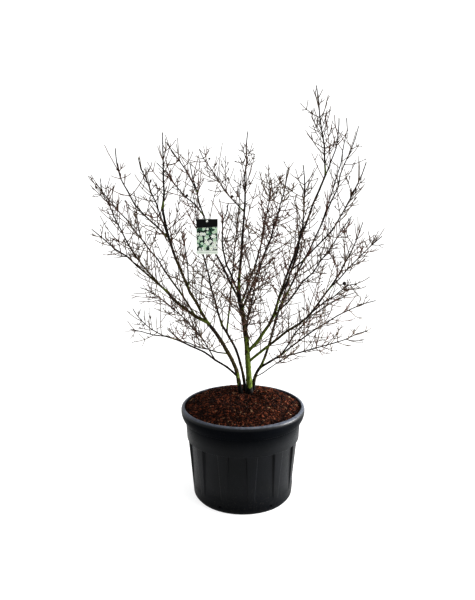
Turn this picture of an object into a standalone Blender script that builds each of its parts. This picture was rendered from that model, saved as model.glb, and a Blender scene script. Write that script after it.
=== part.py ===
"""Potted dogwood: a bare winter shrub of many stems in a black nursery container.

Metres, +Z up. The origin is the middle of the container's flat underside, and
-Y is the side that the plant label faces.
"""

import math
import random

import bmesh
import bpy
import numpy as np
from mathutils import Vector

GAP = 0.0003  # left between neighbours that touch on the real plant

# Container: radii and heights of its outside, from the underside up
POT_HEIGHT = 0.390
POT_RIM_RADIUS = 0.250
POT_MOUTH_RADIUS = 0.2365
POT_RIM_ROUND = 0.003  # how far the lip's face curves in at its top and its foot
POT_RIM_FULL_DROP = 0.022  # from the pot's top to the lip's fullest girth
POT_RIM_FOOT_DROP = 0.038  # from there the lip tapers in to the collar
POT_LIP_DEPTH = 0.060
POT_LIP_STEP = 0.006
POT_COLLAR_TOP_RADIUS = 0.2315
POT_COLLAR_FOOT_RADIUS = 0.2275
POT_COLLAR_FOOT_HEIGHT = 0.258
POT_WALL_TOP_RADIUS = 0.2235
POT_WALL_FOOT_RADIUS = 0.2025
POT_WALL_FOOT_HEIGHT = 0.022
POT_BASE_RADIUS = 0.188
POT_BASE_ROUND = 0.008  # the base's edge is rounded, this much wider at POT_BASE_RISE
POT_BASE_RISE = 0.006
POT_STEP = 0.001  # height of the sharp steps under the lip and the collar
POT_WALL = 0.008  # deeper than the panels, so that they stay in its thickness
POT_FLOOR = 0.005
POT_INSIDE_HEIGHT = 0.363  # up to here the inside is one plain cone

# Ribs: wedges that run down the wall from the collar and narrow, with shallow panels between them
# that fade out below
RIBS = 12
RIB_BEARING = math.radians(-81.1)  # of the one just right of the front
RIB_TOP_SPREAD = math.radians(5.4)
RIB_FOOT_SPREAD = math.radians(3.0)
RIB_SLOPE = math.radians(0.6)  # how wide each side of a rib slopes
PANEL_DEPTH = 0.005
PANEL_FOOT_HEIGHT = 0.065
PANEL_HEIGHTS = (PANEL_FOOT_HEIGHT, 0.12, 0.19, POT_COLLAR_FOOT_HEIGHT - POT_STEP)
PANEL_FADE = 0.6  # under 1 keeps a panel deep for most of its height

# Root ball: level with the mouth, with a low mound that the stems stand on
SOIL_EDGE_HEIGHT = 0.383
SOIL_TOP_HEIGHT = 0.425
SOIL_TOP_RADIUS = 0.105
SOIL_SIDES = 44
SOIL_SEATING = 0.996  # keeps the root ball's corners off the pot's flats

# Label: a hanging card on a plastic tie
LABEL_WIDTH = 0.080
LABEL_HEIGHT = 0.134
LABEL_THICKNESS = 0.0008
LABEL_HOLE_RADIUS = 0.003
LABEL_HOLE_DROP = 0.008  # from the card's top edge to the hole
LABEL_AHEAD = 0.013  # from the limb's middle to the card
LABEL_ASIDE = 0.005
LABEL_HOLE_BELOW = 0.007  # from the limb's middle to the hole
LABEL_HANGS_AT = 0.60  # of the way along its limb
TIE_RADIUS = 0.0009
TIE_SLACK = 0.0006
TIE_CLEARANCE = 0.0042  # between the card and the strand over its top edge
TIE_RISE = 0.0035  # of the tie over the card's top edge
TIE_CLIMB = (0.0020, 0.0045, 0.0070)  # heights at which it passes the limb's right, back and left
TIE_STEPS = 4  # points of the tie from one turn to the next

# Limbs
STEPS = 24  # equal steps of growth along a limb
LIMB_SIDES = 6
STEP_PER_RING = 4
FOOT_MARGIN = 0.012  # looked at on each side of a foot, where the parent may bend towards it
FLARE_LENGTH = 0.030
FLARE = 1.45  # a stem's girth at the soil, as a share of its girth above the flare
FLARE_RINGS = (0.3, 1.1, 2.6)  # heights of the rings of the flare, in flare lengths
FOOT_CLEARANCE = 0.6  # from a slanted foot to the next ring, in radii

# Twig masses
MASS_SIDES = 7
MASS_RING_SPACING = 0.045
MASS_TIP_RADIUS = 0.004
MASS_CLEARANCE = 0.009  # kept between a mass's skin and any other limb
MASS_UNEVENNESS = (0.72, 1.12)  # least and greatest radius, as shares of the mass's own
MASS_SHARE = 0.9  # a mass may reach this share of the way to the next limb

# A limb grows from its foot in the direction (bearing, climb), in degrees. Bearing
# 0 is to the right, 90 to the back, and climb is up from level. Over its length in
# metres it swings by (turn, lift). Thickness in mm is at its foot and at its tip.
# It stands at a share of its parent's length, 1 being the parent's cut end. Its
# twigs are one mass of this radius in metres from this share of its length on.
#  name: (parent, share, bearing, climb, length, turn, lift, thick, thin, twigs from, radius)
STEMS = {
    #  name: (x, y, bearing, climb, length, turn, lift, thick, thin)
    "left_stem": (-0.008, 0.050, -147, 81, 0.36, -17, -32, 15, 12.4),
    "back_stem": (0.009, 0.087, 120, 82, 0.29, 42, -34, 10.5, 8.6),
    "centre_stem": (0.027, 0.054, -133, 88, 0.45, -32, -10, 22, 15.5),
    "right_stem": (0.044, 0.083, 71, 92, 0.11, -67, -47, 12, 10.4),
}
BOUGHS = {
    # left side
    "low_left": ("left_stem", 0.21, 157, 35, 0.35, 0, -25, 8, 5.5, 1, 0),
    "low_left_rise": ("low_left", 0.88, -178, 15, 0.24, 44, 49, 4.6, 3, 0, 0.042),
    "low_left_end": ("low_left", 1, 163, 1, 0.17, -2, 9, 5, 3, 0, 0.040),
    "low_back": ("low_left", 0.34, 137, 49, 0.49, 11, -36, 5, 3, 0, 0.045),
    "low_front": ("left_stem", 0.52, -145, 16, 0.38, 28, 21, 5, 3, 0, 0.042),
    "left_fork": ("left_stem", 1, -169, 22, 0.20, 11, 37, 12, 10, 1, 0),
    "outer_left": ("left_fork", 1, -164, 44, 0.38, 6, -4, 8, 3, 0.45, 0.050),
    "mid_left": ("left_fork", 0.90, 171, 42, 0.54, -27, 28, 7, 3, 0, 0.050),
    "upper_left": ("left_fork", 0.25, 142, 48, 0.73, 2, -11, 7.5, 3, 0.50, 0.052),
    "front_left": ("left_stem", 0.95, -148, 58, 0.56, 52, 2, 11, 7.5, 1, 0),
    "far_left": ("front_left", 0.77, -164, 39, 0.41, 67, 28, 6, 3, 0, 0.050),
    "front_left_top": ("front_left", 1, -47, 84, 0.26, -56, -2, 7, 3, 0, 0.046),
    "front_left_side": ("front_left", 0.65, -120, 63, 0.44, 16, -17, 5.5, 3, 0, 0.044),
    # middle
    "leader": ("centre_stem", 1, 35, 84, 0.61, 45, 0, 11, 3, 0.60, 0.052),
    "crossing": ("leader", 0.50, 138, 36, 0.37, -18, 4, 5, 3, 0, 0.046),
    "label_limb": ("centre_stem", 0.90, -160, 62, 0.60, 48, 7, 8, 3, 0.74, 0.044),
    "label_side": ("label_limb", 0.64, 145, 38, 0.29, 3, 4, 5, 3, 0, 0.044),
    "fore_limb": ("centre_stem", 0.97, -126, 53, 0.54, 59, -14, 7.5, 3, 0.45, 0.048),
    "back_right": ("centre_stem", 0.85, 47, 56, 0.63, 45, 0, 8, 3, 0.45, 0.050),
    "fore_right": ("centre_stem", 0.80, -53, 60, 0.72, -31, -14, 7.5, 3, 0.45, 0.050),
    "low_fore": ("centre_stem", 0.55, -88, 42, 0.48, 14, 12, 6, 3, 0, 0.045),
    "back_left_rise": ("back_stem", 1, 122, 57, 0.62, -14, 6, 8, 3, 0, 0.050),
    "back_rise": ("back_stem", 0.88, 78, 60, 0.68, 4, 4, 7, 3, 0.42, 0.050),
    # right side
    "inner_right": ("centre_stem", 0.40, -14, 48, 0.22, -18, 17, 12, 10, 1, 0),
    "tall_limb": ("inner_right", 1, -19, 74, 0.56, 1, -7, 9, 6.2, 1, 0),
    "tall_top": ("tall_limb", 1, 177, 84, 0.325, -18, -3, 6, 3, 0, 0.048),
    "tall_side": ("tall_limb", 0.90, -45, 60, 0.30, -53, -4, 5, 3, 0, 0.044),
    "right_rise": ("inner_right", 0.90, -41, 64, 0.69, -67, -6, 8, 3, 0.45, 0.050),
    "right_sweep": ("right_rise", 0.32, -13, 40, 0.51, -42, 30, 6, 3, 0, 0.046),
    "right_mid": ("inner_right", 0.80, -30, 49, 0.54, -5, 7, 6.5, 3, 0, 0.046),
    "right_back": ("right_stem", 1, 32, 68, 0.26, 10, -1, 10, 8.2, 1, 0),
    "right_back_rise": ("right_back", 1, 13, 60, 0.80, 14, 10, 8, 3, 0.58, 0.050),
    "right_back_fork": ("right_back_rise", 0.46, 30, 67, 0.49, 52, -10, 5, 3, 0, 0.046),
    "back_low": ("right_back", 0.85, 66, 42, 0.46, 0, 10, 6, 3, 0, 0.046),
    "right_low": ("centre_stem", 0.30, -14, 44, 0.32, -5, -7, 10, 8, 1, 0),
    "right_low_rise": ("right_low", 1, 6, 50, 0.42, 11, 19, 8, 3, 0.42, 0.046),
    "right_low_long": ("right_low_rise", 0.32, -21, 51, 0.30, -11, -7, 5, 3, 0, 0.040),
    "right_low_fore": ("right_low", 0.92, -48, 45, 0.36, -13, -21, 5, 3, 0, 0.042),
    "right_out": ("right_stem", 0.90, -9, 40, 0.11, -8, -8, 8.5, 7, 1, 0),
    "right_out_rise": ("right_out", 1, 4, 42, 0.45, 0, -24, 6.5, 3, 0, 0.042),
    "right_out_low": ("right_out", 0.74, -20, 18, 0.43, -21, 11, 5.5, 3, 0, 0.040),
}


def material(name, colour, roughness, metallic=0.0):
    made = bpy.data.materials.new(name)
    made.use_nodes = True
    shader = made.node_tree.nodes["Principled BSDF"]
    shader.inputs["Base Color"].default_value = (*colour, 1.0)
    shader.inputs["Roughness"].default_value = roughness
    shader.inputs["Metallic"].default_value = metallic
    return made


def add_object(name, points, faces, finish, smooth=None):
    mesh = bpy.data.meshes.new(name)
    mesh.from_pydata([tuple(p) for p in points], [], faces)
    mesh.update()
    bm = bmesh.new()
    bm.from_mesh(mesh)
    bmesh.ops.recalc_face_normals(bm, faces=bm.faces)
    bm.to_mesh(mesh)
    bm.free()
    mesh.materials.append(finish)
    if smooth is not None:
        mesh.shade_smooth()
        mesh.set_sharp_from_angle(angle=math.radians(smooth))
    made = bpy.data.objects.new(name, mesh)
    bpy.context.scene.collection.objects.link(made)
    return made


def loft(name, rings, finish, smooth=50):
    """A closed body through rings of equally many points, capped at both ends."""
    sides = len(rings[0])
    faces = [list(range(sides)), [(len(rings) - 1) * sides + i for i in range(sides)]]
    for lower in range(len(rings) - 1):
        for i in range(sides):
            j = (i + 1) % sides
            a, b = lower * sides, (lower + 1) * sides
            faces.append([a + i, a + j, b + j, b + i])
    return add_object(name, [p for ring in rings for p in ring], faces, finish, smooth)


def heading(bearing, climb):
    a, e = math.radians(bearing), math.radians(climb)
    return np.array([math.cos(a) * math.cos(e), math.sin(a) * math.cos(e), math.sin(e)])


class Limb:
    """The middle line of a limb, its thickness and the rings of its solid."""

    def __init__(self, foot, bearing, climb, length, turn, lift, thick, thin, flare=1.0):
        self.points, self.ways, self.length = [np.array(foot)], [], length
        for step in range(STEPS):
            share = (step + 0.5) / STEPS
            way = heading(bearing + turn * share, climb + lift * share)
            self.points.append(self.points[-1] + way * length / STEPS)
            self.ways.append(way)
        self.ways.append(self.ways[-1])
        self.thick, self.thin, self.flare = thick, thin, flare
        self.rings = []

    def at(self, share):
        """The middle line's point and direction there."""
        place = share * STEPS
        low = min(int(place), STEPS - 1)
        rest = place - low
        point = self.points[low] * (1 - rest) + self.points[low + 1] * rest
        return point, self.ways[low]

    def radius(self, share):
        plain = (self.thick + (self.thin - self.thick) * share) / 2000
        swell = (self.flare - 1) * math.exp(-share * self.length / FLARE_LENGTH)
        return plain * (1 + swell)

    def ring(self, share, sides, radii):
        """Points round the middle line, square to it. radii is one number or one for each side."""
        point, way = self.at(share)
        across = np.cross(way, [0.0, 1.0, 0.0])
        across /= np.linalg.norm(across)
        over = np.cross(way, across)
        radii = np.broadcast_to(radii, sides)
        turns = [2 * math.pi * i / sides for i in range(sides)]
        return [
            point + r * (math.cos(t) * across + math.sin(t) * over)
            for t, r in zip(turns, radii)
        ]


def seat(ring, way, plane_point, plane_normal):
    """A ring slid along its limb's direction until it lies in a plane."""
    return [
        p + way * (np.dot(plane_point - p, plane_normal) / np.dot(way, plane_normal))
        for p in ring
    ]


def reach_of(parent, point, along, out, low, high):
    """How far the parent's solid stands out from its middle between two places along it."""
    found = []
    for first, second in zip(parent.rings, parent.rings[1:]):
        for share in np.linspace(0, 1, 13):
            for p, q in zip(first, second):
                v = p * (1 - share) + q * share - point
                if low <= np.dot(v, along) <= high:
                    found.append(np.dot(v, out))
    return max(found)


def seat_on(limb, parent, share, ring):
    """The limb's first ring, laid on its parent's cut end or flat against its side."""
    point, along = parent.at(share)
    way = limb.ways[0]
    if share == 1:
        return seat(ring, way, point + along * GAP, along)
    out = way - np.dot(way, along) * along
    out /= np.linalg.norm(out)
    laid = seat(ring, way, point + out * parent.radius(share), out)
    places = [np.dot(p - point, along) for p in laid]
    low, high = min(places) - FOOT_MARGIN, max(places) + FOOT_MARGIN
    reach = reach_of(parent, point, along, out, low, high)
    return seat(ring, way, point + out * (reach + GAP), out)


def first_clear_share(limb, laid):
    """Where the first plain ring can stand past a slanted foot."""
    farthest = max(np.dot(p - limb.points[0], limb.ways[0]) for p in laid)
    return (farthest + FOOT_CLEARANCE * limb.radius(0)) / limb.length


def bough_rings(limb, start, end):
    """Rings from past the foot to where the bough ends."""
    count = max(2, round((end - start) * STEPS / STEP_PER_RING) + 1)
    shares = np.linspace(start, end, count)
    return [limb.ring(s, LIMB_SIDES, limb.radius(s)) for s in shares]


def mass_radius(share, radius, foot_radius):
    """Slim at its foot, fullest past its middle and drawn in to the tip."""
    swell = math.sin(math.pi * share**1.15) ** 0.75 if share < 1 else 0.0
    low = foot_radius + (MASS_TIP_RADIUS - foot_radius) * share
    return low + (radius - low) * swell


def mass_rings(name, limb, start, end, radius, others):
    """Uneven rings, each drawn in so that the mass keeps clear of every other limb."""
    dice = random.Random(name)
    length = (end - start) * limb.length
    count = max(4, round(length / MASS_RING_SPACING) + 1)
    other_points, other_radii = others
    rings = []
    for share in np.linspace(start, end, count):
        place = (share - start) / (end - start)
        full = mass_radius(place, radius, limb.radius(start))
        least = min(limb.radius(share), full)
        middle = limb.at(share)[0]
        radii = []
        for side in range(MASS_SIDES):
            wanted = full * dice.uniform(*MASS_UNEVENNESS)
            while wanted > least:
                tip = limb.ring(share, MASS_SIDES, wanted)[side]
                nearest = (np.linalg.norm(other_points - tip, axis=1) - other_radii).min()
                if nearest > np.linalg.norm(tip - middle) * MASS_SHARE + MASS_CLEARANCE:
                    break
                wanted *= 0.9
            radii.append(max(wanted, least))
        rings.append(limb.ring(share, MASS_SIDES, radii))
    return rings


def middle_lines(limbs, leaving_out):
    """Every other limb's middle points and the radii there."""
    points, radii = [], []
    for name, limb in limbs.items():
        if name == leaving_out:
            continue
        for step in range(STEPS + 1):
            points.append(limb.points[step])
            radii.append(limb.radius(step / STEPS))
    return np.array(points), np.array(radii)


def grow_plant(bark, twig_finish):
    limbs = {}
    for name, (x, y, *growth) in STEMS.items():
        limbs[name] = Limb((x, y, SOIL_TOP_HEIGHT + GAP), *growth, flare=FLARE)
    for name, (parent, share, *growth) in BOUGHS.items():
        limbs[name] = Limb(limbs[parent].at(share)[0], *growth[:-2])

    for name, (x, y, *_growth) in STEMS.items():
        limb = limbs[name]
        foot = limb.ring(0, LIMB_SIDES, limb.radius(0))
        soil = np.array([x, y, SOIL_TOP_HEIGHT + GAP])
        foot = seat(foot, limb.ways[0], soil, np.array([0.0, 0.0, 1.0]))
        flare = [height * FLARE_LENGTH / limb.length for height in FLARE_RINGS]
        flare_rings = [limb.ring(s, LIMB_SIDES, limb.radius(s)) for s in flare[:-1]]
        limb.rings = [foot] + flare_rings + bough_rings(limb, flare[-1], 1)
        loft(name, limb.rings, bark)

    for name, (parent, share, *growth) in BOUGHS.items():
        limb, twigs_from, twig_radius = limbs[name], *growth[-2:]
        sides = LIMB_SIDES if twigs_from > 0 else MASS_SIDES
        foot = seat_on(limb, limbs[parent], share, limb.ring(0, sides, limb.radius(0)))
        start = first_clear_share(limb, foot)
        if twigs_from > 0:
            limb.rings = [foot] + bough_rings(limb, start, twigs_from)
            loft(name + "_bough", limb.rings, bark)
        if twigs_from == 1:
            continue
        others = middle_lines(limbs, name)
        if twigs_from == 0:
            limb.rings = [foot] + mass_rings(name, limb, start, 1, twig_radius, others)
            loft(name + "_twigs", limb.rings, twig_finish)
            continue
        rings = mass_rings(name, limb, twigs_from, 1, twig_radius, others)
        point, way = limb.at(twigs_from)
        first = limb.ring(twigs_from, MASS_SIDES, limb.radius(twigs_from))
        rings[0] = seat(first, way, point + way * GAP, way)
        loft(name + "_twigs", rings, twig_finish)
    return limbs


def panel_depth(height):
    """Deepest under the collar and fading to nothing at the panel's foot."""
    top = POT_COLLAR_FOOT_HEIGHT
    if not PANEL_FOOT_HEIGHT < height < top:
        return 0.0
    return PANEL_DEPTH * ((height - PANEL_FOOT_HEIGHT) / (top - PANEL_FOOT_HEIGHT)) ** PANEL_FADE


def pot_ring(radius, height, ribbed=False):
    """Five points to each rib: its two edges, and the two sides and the middle of the panel after it."""
    share = (height - PANEL_FOOT_HEIGHT) / (POT_COLLAR_FOOT_HEIGHT - PANEL_FOOT_HEIGHT)
    spread = RIB_FOOT_SPREAD + (RIB_TOP_SPREAD - RIB_FOOT_SPREAD) * min(max(share, 0), 1)
    pitch = 2 * math.pi / RIBS
    panel_side = spread + RIB_SLOPE
    panel_radius = radius - (panel_depth(height) if ribbed else 0)
    corners = [(-spread, radius), (spread, radius)]
    corners += [(offset, panel_radius) for offset in (panel_side, pitch / 2, pitch - panel_side)]
    points = []
    for rib in range(RIBS):
        middle = RIB_BEARING + rib * pitch
        for offset, r in corners:
            points.append((r * math.cos(middle + offset), r * math.sin(middle + offset), height))
    return points


def make_pot(finish):
    wall_rise = POT_COLLAR_FOOT_HEIGHT - POT_WALL_FOOT_HEIGHT
    lip_foot = POT_HEIGHT - POT_LIP_DEPTH
    rings = [
        pot_ring(POT_BASE_RADIUS, 0.0),
        pot_ring(POT_BASE_RADIUS + POT_BASE_ROUND, POT_BASE_RISE),
        pot_ring(POT_WALL_FOOT_RADIUS, POT_WALL_FOOT_HEIGHT),
    ]
    for height in PANEL_HEIGHTS:
        share = (height - POT_WALL_FOOT_HEIGHT) / wall_rise
        radius = POT_WALL_FOOT_RADIUS + (POT_WALL_TOP_RADIUS - POT_WALL_FOOT_RADIUS) * share
        rings.append(pot_ring(radius, height, ribbed=True))
    rings += [
        pot_ring(POT_COLLAR_FOOT_RADIUS, POT_COLLAR_FOOT_HEIGHT),
        pot_ring(POT_COLLAR_TOP_RADIUS, lip_foot - POT_STEP),
        pot_ring(POT_COLLAR_TOP_RADIUS + POT_LIP_STEP, lip_foot),
        pot_ring(POT_RIM_RADIUS - POT_RIM_ROUND, POT_HEIGHT - POT_RIM_FOOT_DROP),
        pot_ring(POT_RIM_RADIUS, POT_HEIGHT - POT_RIM_FULL_DROP),
        pot_ring(POT_RIM_RADIUS - POT_RIM_ROUND, POT_HEIGHT - 2 * POT_RIM_ROUND),
        pot_ring((POT_RIM_RADIUS + POT_MOUTH_RADIUS) / 2, POT_HEIGHT),
        pot_ring(POT_MOUTH_RADIUS, POT_HEIGHT - POT_RIM_ROUND),
        pot_ring(inside_radius(POT_INSIDE_HEIGHT), POT_INSIDE_HEIGHT),
        pot_ring(inside_radius(POT_FLOOR), POT_FLOOR),
    ]
    return loft("pot", rings, finish, smooth=35)


def inside_radius(height):
    """The radius of the pot's smooth inside."""
    foot = POT_WALL_FOOT_RADIUS - POT_WALL
    top = POT_MOUTH_RADIUS - POT_RIM_ROUND
    return foot + (top - foot) * height / POT_HEIGHT


def make_soil(finish):
    """The root ball, a turned body that fills the pot, with a flat patch under the stems."""
    faceting = math.cos(math.pi / SOIL_SIDES) * SOIL_SEATING
    low = POT_FLOOR + GAP
    mound = SOIL_TOP_HEIGHT - SOIL_EDGE_HEIGHT
    profile = [(inside_radius(low) * faceting - GAP, low)]
    profile.append((inside_radius(SOIL_EDGE_HEIGHT) * faceting - GAP, SOIL_EDGE_HEIGHT))
    for share in (0.25, 0.5, 0.75):
        edge = profile[1][0]
        radius = edge + (SOIL_TOP_RADIUS - edge) * share
        profile.append((radius, SOIL_EDGE_HEIGHT + mound * math.sin(share * math.pi / 2)))
    profile.append((SOIL_TOP_RADIUS, SOIL_TOP_HEIGHT))
    turns = [2 * math.pi * i / SOIL_SIDES for i in range(SOIL_SIDES)]
    rings = [[(r * math.cos(t), r * math.sin(t), z) for t in turns] for r, z in profile]
    return loft("soil", rings, finish, smooth=50)


def make_label(limb, card_finish, tie_finish):
    """A card that hangs in front of its limb, on a tie through its hole and round the limb."""
    point, way = limb.at(LABEL_HANGS_AT)
    limb_radius = limb.radius(LABEL_HANGS_AT)
    hole = Vector(point) + Vector((LABEL_ASIDE, -LABEL_AHEAD, -LABEL_HOLE_BELOW))
    top = hole.z + LABEL_HOLE_DROP

    bpy.ops.mesh.primitive_cube_add(size=1, location=(hole.x, hole.y, top - LABEL_HEIGHT / 2))
    card = bpy.context.object
    card.name = "label"
    card.scale = (LABEL_WIDTH, LABEL_THICKNESS, LABEL_HEIGHT)
    bpy.ops.object.transform_apply(location=False, rotation=False, scale=True)
    card.data.materials.append(card_finish)
    bpy.ops.mesh.primitive_cylinder_add(
        vertices=12, radius=LABEL_HOLE_RADIUS, depth=25 * LABEL_THICKNESS, location=hole,
        rotation=(math.pi / 2, 0, 0),
    )
    punch = bpy.context.object
    punch.name = "label_punch"
    punch.hide_render = True
    punch.display_type = "WIRE"
    cut = card.modifiers.new("hole", "BOOLEAN")
    cut.object = punch
    cut.operation = "DIFFERENCE"

    def beside_limb(climb, offset):
        height = through.z + climb
        return Vector(point + way * (height - point[2]) / way[2]) + Vector(offset)

    around = limb_radius + TIE_RADIUS + 5 * GAP
    hang = LABEL_HOLE_RADIUS - TIE_RADIUS - GAP  # the card hangs with the tie at the hole's top
    through = hole + Vector((0, 0, hang))
    over = Vector((hole.x, hole.y, top))
    turns = [
        through + Vector((0, -TIE_CLEARANCE, -TIE_SLACK)),
        through,
        through + Vector((2 * TIE_SLACK, TIE_CLEARANCE, 0)),
        beside_limb(TIE_CLIMB[0], (around + TIE_SLACK, -TIE_RADIUS, 0)),
        beside_limb(TIE_CLIMB[1], (0, around, 0)),
        beside_limb(TIE_CLIMB[2], (-around - TIE_SLACK, -TIE_RADIUS, 0)),
        over + Vector((-2 * TIE_SLACK, TIE_CLEARANCE, TIE_RISE)),
        over + Vector((0, 0, TIE_RISE)),
        over + Vector((0, -TIE_CLEARANCE, -2 * TIE_SLACK)),
    ]
    line = bpy.data.curves.new("label_tie", "CURVE")
    line.dimensions = "3D"
    line.bevel_depth = TIE_RADIUS
    line.bevel_resolution = 1
    spline = line.splines.new("POLY")
    smooth = closed_curve(turns, TIE_STEPS)
    spline.points.add(len(smooth) - 1)
    for place, p in zip(spline.points, smooth):
        place.co = (*p, 1)
    spline.use_cyclic_u = True
    line.materials.append(tie_finish)
    tie = bpy.data.objects.new("label_tie", line)
    bpy.context.scene.collection.objects.link(tie)


def closed_curve(points, per_span):
    """A smooth closed line through the points."""
    count, line = len(points), []
    for i in range(count):
        a, b, c, d = (points[(i + k) % count] for k in (-1, 0, 1, 2))
        for step in range(per_span):
            t = step / per_span
            bend, twist = 2 * a - 5 * b + 4 * c - d, 3 * b - a - 3 * c + d
            line.append((2 * b + (c - a) * t + bend * t**2 + twist * t**3) / 2)
    return line


def main():
    for old in list(bpy.data.objects):
        bpy.data.objects.remove(old, do_unlink=True)
    bark = material("Dogwood bark", (0.060, 0.050, 0.020), 0.75)
    twig_finish = material("Bare twigs", (0.090, 0.035, 0.025), 0.7)
    plastic = material("Recycled black polypropylene", (0.013, 0.014, 0.015), 0.45)
    compost = material("Bark compost", (0.040, 0.014, 0.008), 0.95)
    card_finish = material("Label card", (0.450, 0.560, 0.470), 0.35)
    tie_finish = material("Clear plastic tie", (0.400, 0.420, 0.420), 0.3)
    make_pot(plastic)
    make_soil(compost)
    limbs = grow_plant(bark, twig_finish)
    make_label(limbs["label_limb"], card_finish, tie_finish)


main()
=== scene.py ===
import math
import random

import bpy
import numpy as np
from mathutils import Matrix, Vector, noise


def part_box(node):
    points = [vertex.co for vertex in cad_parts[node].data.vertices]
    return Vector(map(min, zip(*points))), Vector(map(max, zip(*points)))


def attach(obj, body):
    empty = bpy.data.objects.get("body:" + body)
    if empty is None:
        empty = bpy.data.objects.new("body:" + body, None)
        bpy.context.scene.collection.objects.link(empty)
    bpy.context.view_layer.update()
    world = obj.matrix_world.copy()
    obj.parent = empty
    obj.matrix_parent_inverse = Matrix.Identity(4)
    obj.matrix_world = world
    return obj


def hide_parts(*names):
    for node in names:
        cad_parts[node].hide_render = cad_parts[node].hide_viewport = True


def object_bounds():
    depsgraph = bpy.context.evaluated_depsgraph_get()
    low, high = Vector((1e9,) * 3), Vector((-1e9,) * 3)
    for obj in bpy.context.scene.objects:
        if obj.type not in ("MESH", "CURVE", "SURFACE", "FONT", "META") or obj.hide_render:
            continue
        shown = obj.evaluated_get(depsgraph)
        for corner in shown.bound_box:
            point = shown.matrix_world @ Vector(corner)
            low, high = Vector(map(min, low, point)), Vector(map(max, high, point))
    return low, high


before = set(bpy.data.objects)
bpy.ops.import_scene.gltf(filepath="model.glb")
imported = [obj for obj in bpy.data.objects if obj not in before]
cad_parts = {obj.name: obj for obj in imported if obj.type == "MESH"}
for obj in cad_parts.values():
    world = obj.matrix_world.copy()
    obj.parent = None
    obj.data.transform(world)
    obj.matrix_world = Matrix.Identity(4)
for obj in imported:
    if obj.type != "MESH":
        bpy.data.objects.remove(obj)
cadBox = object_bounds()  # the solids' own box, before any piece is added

# Metres, +Z up. The origin is the middle of the pot's underside, and -Y is the side the label faces.

studio = {
    "cameraPlace": (-0.022, -2.95, 1.515),
    "cameraPitch": 13.18,  # degrees below level
    "focalLength": 58.43,  # mm, on a sensor 36 mm wide
    "sensorWidth": 36,
    "floorSide": 600.0,
    "floorColour": "#a2a2a1",
    "floorGlow": 0.68,
    "wallColour": "#ffffff",  # a white studio wall all round, up to the lower of the two heights
    "ceilingColour": "#808285",
    "wallHeights": (0.20, 0.60),  # as sines of the angle above level
    "worldStrength": 1.02,
    "sunPlace": (0.8, -0.5, 2.5),  # a very large soft light overhead, a little to the right of the front
    "sunStrength": 2.15,
    "sunAngle": 38,
    # Each lamp's place, side in metres, watts, and degrees of spread through its honeycomb grid
    "lamps": {
        "topLamp": ((0.0, 0.9, 2.6), 0.9, 14, 180),
        "leftLamp": ((-2.1, 0.55, 0.8), 1.0, 3, 180),
        "rightLamp": ((2.0, -0.1, 0.7), 1.0, 17, 60),
    },
    "aim": (0, 0, 0.35),
    "look": "Medium High Contrast",
}


def toLinear(code):
    channels = [int(code[place:place + 2], 16) / 255 for place in (1, 3, 5)]
    return (*(c / 12.92 if c <= 0.04045 else ((c + 0.055) / 1.055) ** 2.4 for c in channels), 1.0)


def addNode(tree, kind, settings=None, inputs=None):
    # One shader node with its settings. An input is a value, or the output socket that feeds it.
    made = tree.nodes.new(kind)
    for name, value in (settings or {}).items():
        setattr(made, name, value)
    for name, value in (inputs or {}).items():
        if isinstance(value, bpy.types.NodeSocket):
            tree.links.new(value, made.inputs[name])
        else:
            made.inputs[name].default_value = value
    return made


def newMaterial(name, colour, roughness, ior, gloss=0.5):
    made = bpy.data.materials.new(name)
    made.use_nodes = True
    made.diffuse_color = toLinear(colour)
    shader = made.node_tree.nodes["Principled BSDF"]
    shader.inputs["Base Color"].default_value = toLinear(colour)
    shader.inputs["Roughness"].default_value = roughness
    shader.inputs["IOR"].default_value = ior
    shader.inputs["Specular IOR Level"].default_value = gloss
    return made, made.node_tree, shader


def objectCoordinates(tree):
    return addNode(tree, "ShaderNodeTexCoord").outputs["Object"]


def perMetre(millimetres):
    return 1000 / millimetres  # the texture scale of a pattern whose features are this far apart


def ramp(tree, factor, stops):
    # A colour ramp from (place, hex colour) pairs.
    made = addNode(tree, "ShaderNodeValToRGB", inputs={"Fac": factor})
    while len(made.color_ramp.elements) < len(stops):
        made.color_ramp.elements.new(0.5)
    for element, (place, colour) in zip(made.color_ramp.elements, stops):
        element.position = place
        element.color = toLinear(colour)
    return made.outputs["Color"]


def noiseOver(tree, place, apart, detail, roughness=0.5):
    # Noise with its features this many millimetres apart.
    made = addNode(
        tree, "ShaderNodeTexNoise",
        inputs={"Vector": place, "Scale": perMetre(apart), "Detail": detail, "Roughness": roughness},
    )
    return made.outputs["Fac"]


def mapped(tree, value, source, target):
    # A value carried from one range to another and held at its ends.
    ends = {"From Min": source[0], "From Max": source[1], "To Min": target[0], "To Max": target[1]}
    return addNode(tree, "ShaderNodeMapRange", inputs={"Value": value, **ends}).outputs["Result"]


def combined(tree, operation, first, second):
    return addNode(tree, "ShaderNodeMath", {"operation": operation}, {0: first, 1: second}).outputs["Value"]


def mixed(tree, share, first, second):
    # In the node's colour mode its share is input 0, and its two colours are inputs 6 and 7.
    return addNode(tree, "ShaderNodeMix", {"data_type": "RGBA"}, {0: share, 6: first, 7: second}).outputs[2]


def roughen(tree, shader, height, strength, distance):
    # Relief too fine for the mesh, so it is only in the shading.
    inputs = {"Strength": strength, "Distance": distance, "Height": height}
    tree.links.new(addNode(tree, "ShaderNodeBump", inputs=inputs).outputs["Normal"], shader.inputs["Normal"])


def finishesOf(make, places, shades):
    # A material for each name, from its colours at these places of its pattern and its roughness.
    return [
        make(name, list(zip(places, colours)), roughness) for name, (*colours, roughness) in shades.items()
    ]


def turnsOf(count):
    return np.arange(count) * 2 * math.pi / count


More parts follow.
